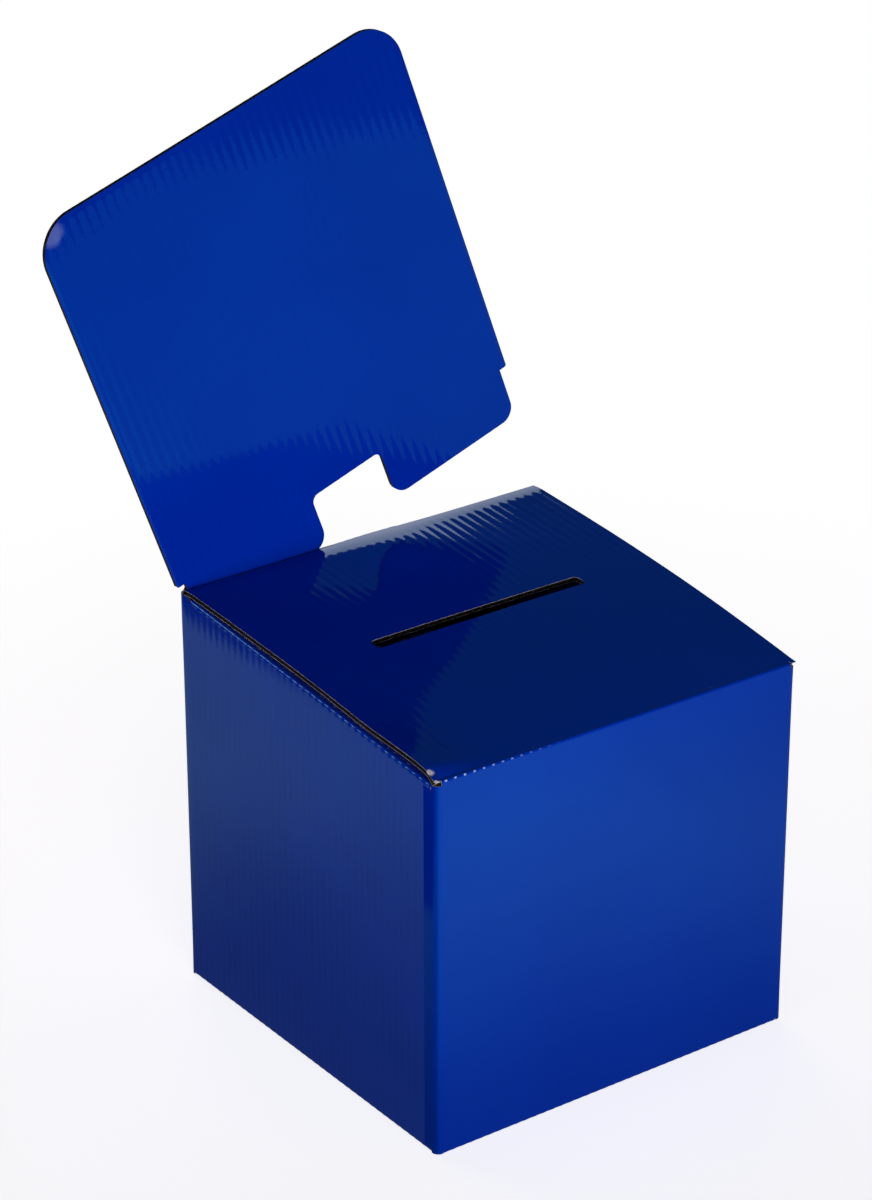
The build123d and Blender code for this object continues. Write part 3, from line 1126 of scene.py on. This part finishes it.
def header_roll(u, v):
    """How far the board's edges lean back, crushed by the cutting die: a square of the distance
    to the rounded outline. They lean less round the upper left corner."""
    aside, above = np.minimum(u, header_width - u), header_height - v
    near, over = np.maximum(header_radius - aside, 0), np.maximum(header_radius - above, 0)
    rounded = header_radius - np.hypot(near, over)
    inside = np.where(near * over > 0, rounded, np.minimum(aside, above))
    corner = np.exp(-((u - calm_aside) ** 2 + (above - calm_above) ** 2) / calm_size**2)
    roll = edge_roll * (1 - calm_share * corner)
    return roll * np.clip(1 - inside / edge_width, 0, 1) ** 2


def header_place(u, v, depth):
    """A point of the header: on its leaning plane, less the depth. It bends forward with the
    square of its height, more at the right, and the upper left corner curls back."""
    rise = np.clip(v / header_height, 0, 1)
    left = np.clip(1 - u / curl_width, 0, 1)
    bend = header_bend * rise**2 * (bend_left + bend_right * u / header_width)
    bend = bend - corner_curl * left**2 * rise**4 - header_roll(u, v)
    bend = bend + rise * sway(u, v, header_sway)
    points = header_corner + header_normal * board / 2
    points = points + u[:, None] * header_along + v[:, None] * header_up
    return points + (bend - depth)[:, None] * header_normal


def header_sheet():
    """The header's flat mesh: the panel, the tabs' upper part with the notch's rounded corners,
    and the tabs' lower part. Inset is the distance from the nearer end."""
    notch_end = tab_end + notch_radius - notch_stop
    arcs = []
    for end, way in ((0, 1), (header_width, -1)):
        arcs += [
            (end, end + way * header_radius),
            (end, end + way * shoulder_radius),
            (end + way * shoulder, end + way * (shoulder + tab_radius)),
            (end + way * tab_end, end + way * (tab_end - tab_radius)),
            (end + way * tab_end, end + way * (tab_end + notch_radius)),
        ]
    stops = [shoulder, tab_end, notch_end]
    stops += [header_width - stop for stop in stops]
    us = columns(0, header_width, arcs, stops)

    def arc(radius, near, of):
        """How far a rounded corner of that radius falls back, near its end."""
        away = np.clip(near + radius - of, 0, radius)
        return radius - np.sqrt(radius**2 - away**2)

    def inset(us):
        return np.minimum(us, header_width - us)

    top = header_height - arc(header_radius, 0, inset(us))
    grids = [
        strip(us, arc(shoulder_radius, 0, inset(us)), top - top_band, header_rows),
        strip(us, top - top_band, top, top_rows),
    ]
    for low, high in ((0, header_width / 2), (header_width / 2, header_width)):
        part = within(us, low, high)
        part = part[(inset(part) >= shoulder - tiny) & (inset(part) <= notch_end + tiny)]
        far = inset(part)
        fillet = np.clip(tab_end + notch_radius - far, 0, notch_radius)
        floor_level = np.sqrt(notch_radius**2 - fillet**2) - notch_radius
        grids.append(strip(part, floor_level, 0 * part, notch_rows))
        part = part[far <= tab_end + tiny]
        far = inset(part)
        corner = arc(tab_radius, shoulder, far) + arc(tab_radius, -tab_end, -far)
        grids.append(strip(part, corner - tab_length, -notch_radius + 0 * part, tab_rows))
    return join(*grids)


header_flat = header_sheet()
make_board(
    "header",
    "header",
    lambda ply: header_flat,
    header_place,
    lambda u, v: 1.0,
    papers["fluting"],
)

# %% [markdown]
# ## The flat panels
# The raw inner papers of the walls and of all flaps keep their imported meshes. Only the printed
# liners of the folded flaps are cut back to where their crease strips end. A face that looks the
# panel's outward way is printed film, and its thin edges are bare paper.

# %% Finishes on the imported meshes
film_side = {
    "glue_flap": y_way,
    "tongue": tongue_normal,
    "left_dust_flap": lid_normal,
    "right_dust_flap": lid_normal,
}
film_side.update({f"bottom_{label}_flap": down for label in walls})
over_y = ("wall", "dust_flap")
waves = {f"{label}_{kind}": 1 for label in ("left", "right") for kind in over_y}
waves.update({"bottom_left_flap": 1, "bottom_right_flap": 1})
facing = 0.9


def panel_of(node):
    """The panel and the ply in a node's name."""
    return next((node[: -len(ply) - 1], ply) for ply in ply_materials if node.endswith(ply))


def paint(mesh, panel):
    """Film on the faces that look outward from the panel, bare paper on the rest."""
    mesh.materials.clear()
    mesh.materials.append(films[waves.get(panel, 0)])
    mesh.materials.append(papers["cut_edge"])
    normals = np.empty(len(mesh.polygons) * 3)
    mesh.polygons.foreach_get("normal", normals)
    index = (normals.reshape(-1, 3) @ film_side[panel] < facing).astype(np.int32)
    mesh.polygons.foreach_set("material_index", index)


def cut_back(panel, way, limit):
    """A copy of a panel's printed liner that ends at a limit, in millimetres along a direction.
    Points past the limit move back to it along the direction."""
    node = frame["nodes"][f"{panel}_printed_liner"]
    mesh = node.data.copy()
    points = np.empty(len(mesh.vertices) * 3)
    mesh.vertices.foreach_get("co", points)
    points = points.reshape(-1, 3)
    past = np.maximum(points @ way - limit * MM, 0)
    mesh.vertices.foreach_set("co", (points - past[:, None] * way).ravel())
    paint(mesh, panel)
    piece = bpy.data.objects.new(f"{panel}_printed_liner_looks", mesh)
    bpy.context.scene.collection.objects.link(piece)
    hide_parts(f"{panel}_printed_liner")
    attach(piece, panel)
    return piece


for side, label in ((-1, "left"), (1, "right")):
    cut_back(f"{label}_dust_flap", side * x_way, half - flap_reach)
    cut_back(f"bottom_{label}_flap", side * x_way, half - side_flap_reach)
for side, label in ((-1, "front"), (1, "back")):
    cut_back(f"bottom_{label}_flap", side * y_way, half - flap_reach)

shown = 0
for name, node in frame["nodes"].items():
    if node.hide_render:
        continue
    panel, ply = panel_of(name)
    if ply == "printed_liner":
        paint(node.data, panel)
    else:
        node.data.materials.clear()
        node.data.materials.append(papers[ply] if ply == "fluting" else liners[waves.get(panel, 0)])
    shown += 1
print("packed meshes shown", shown)
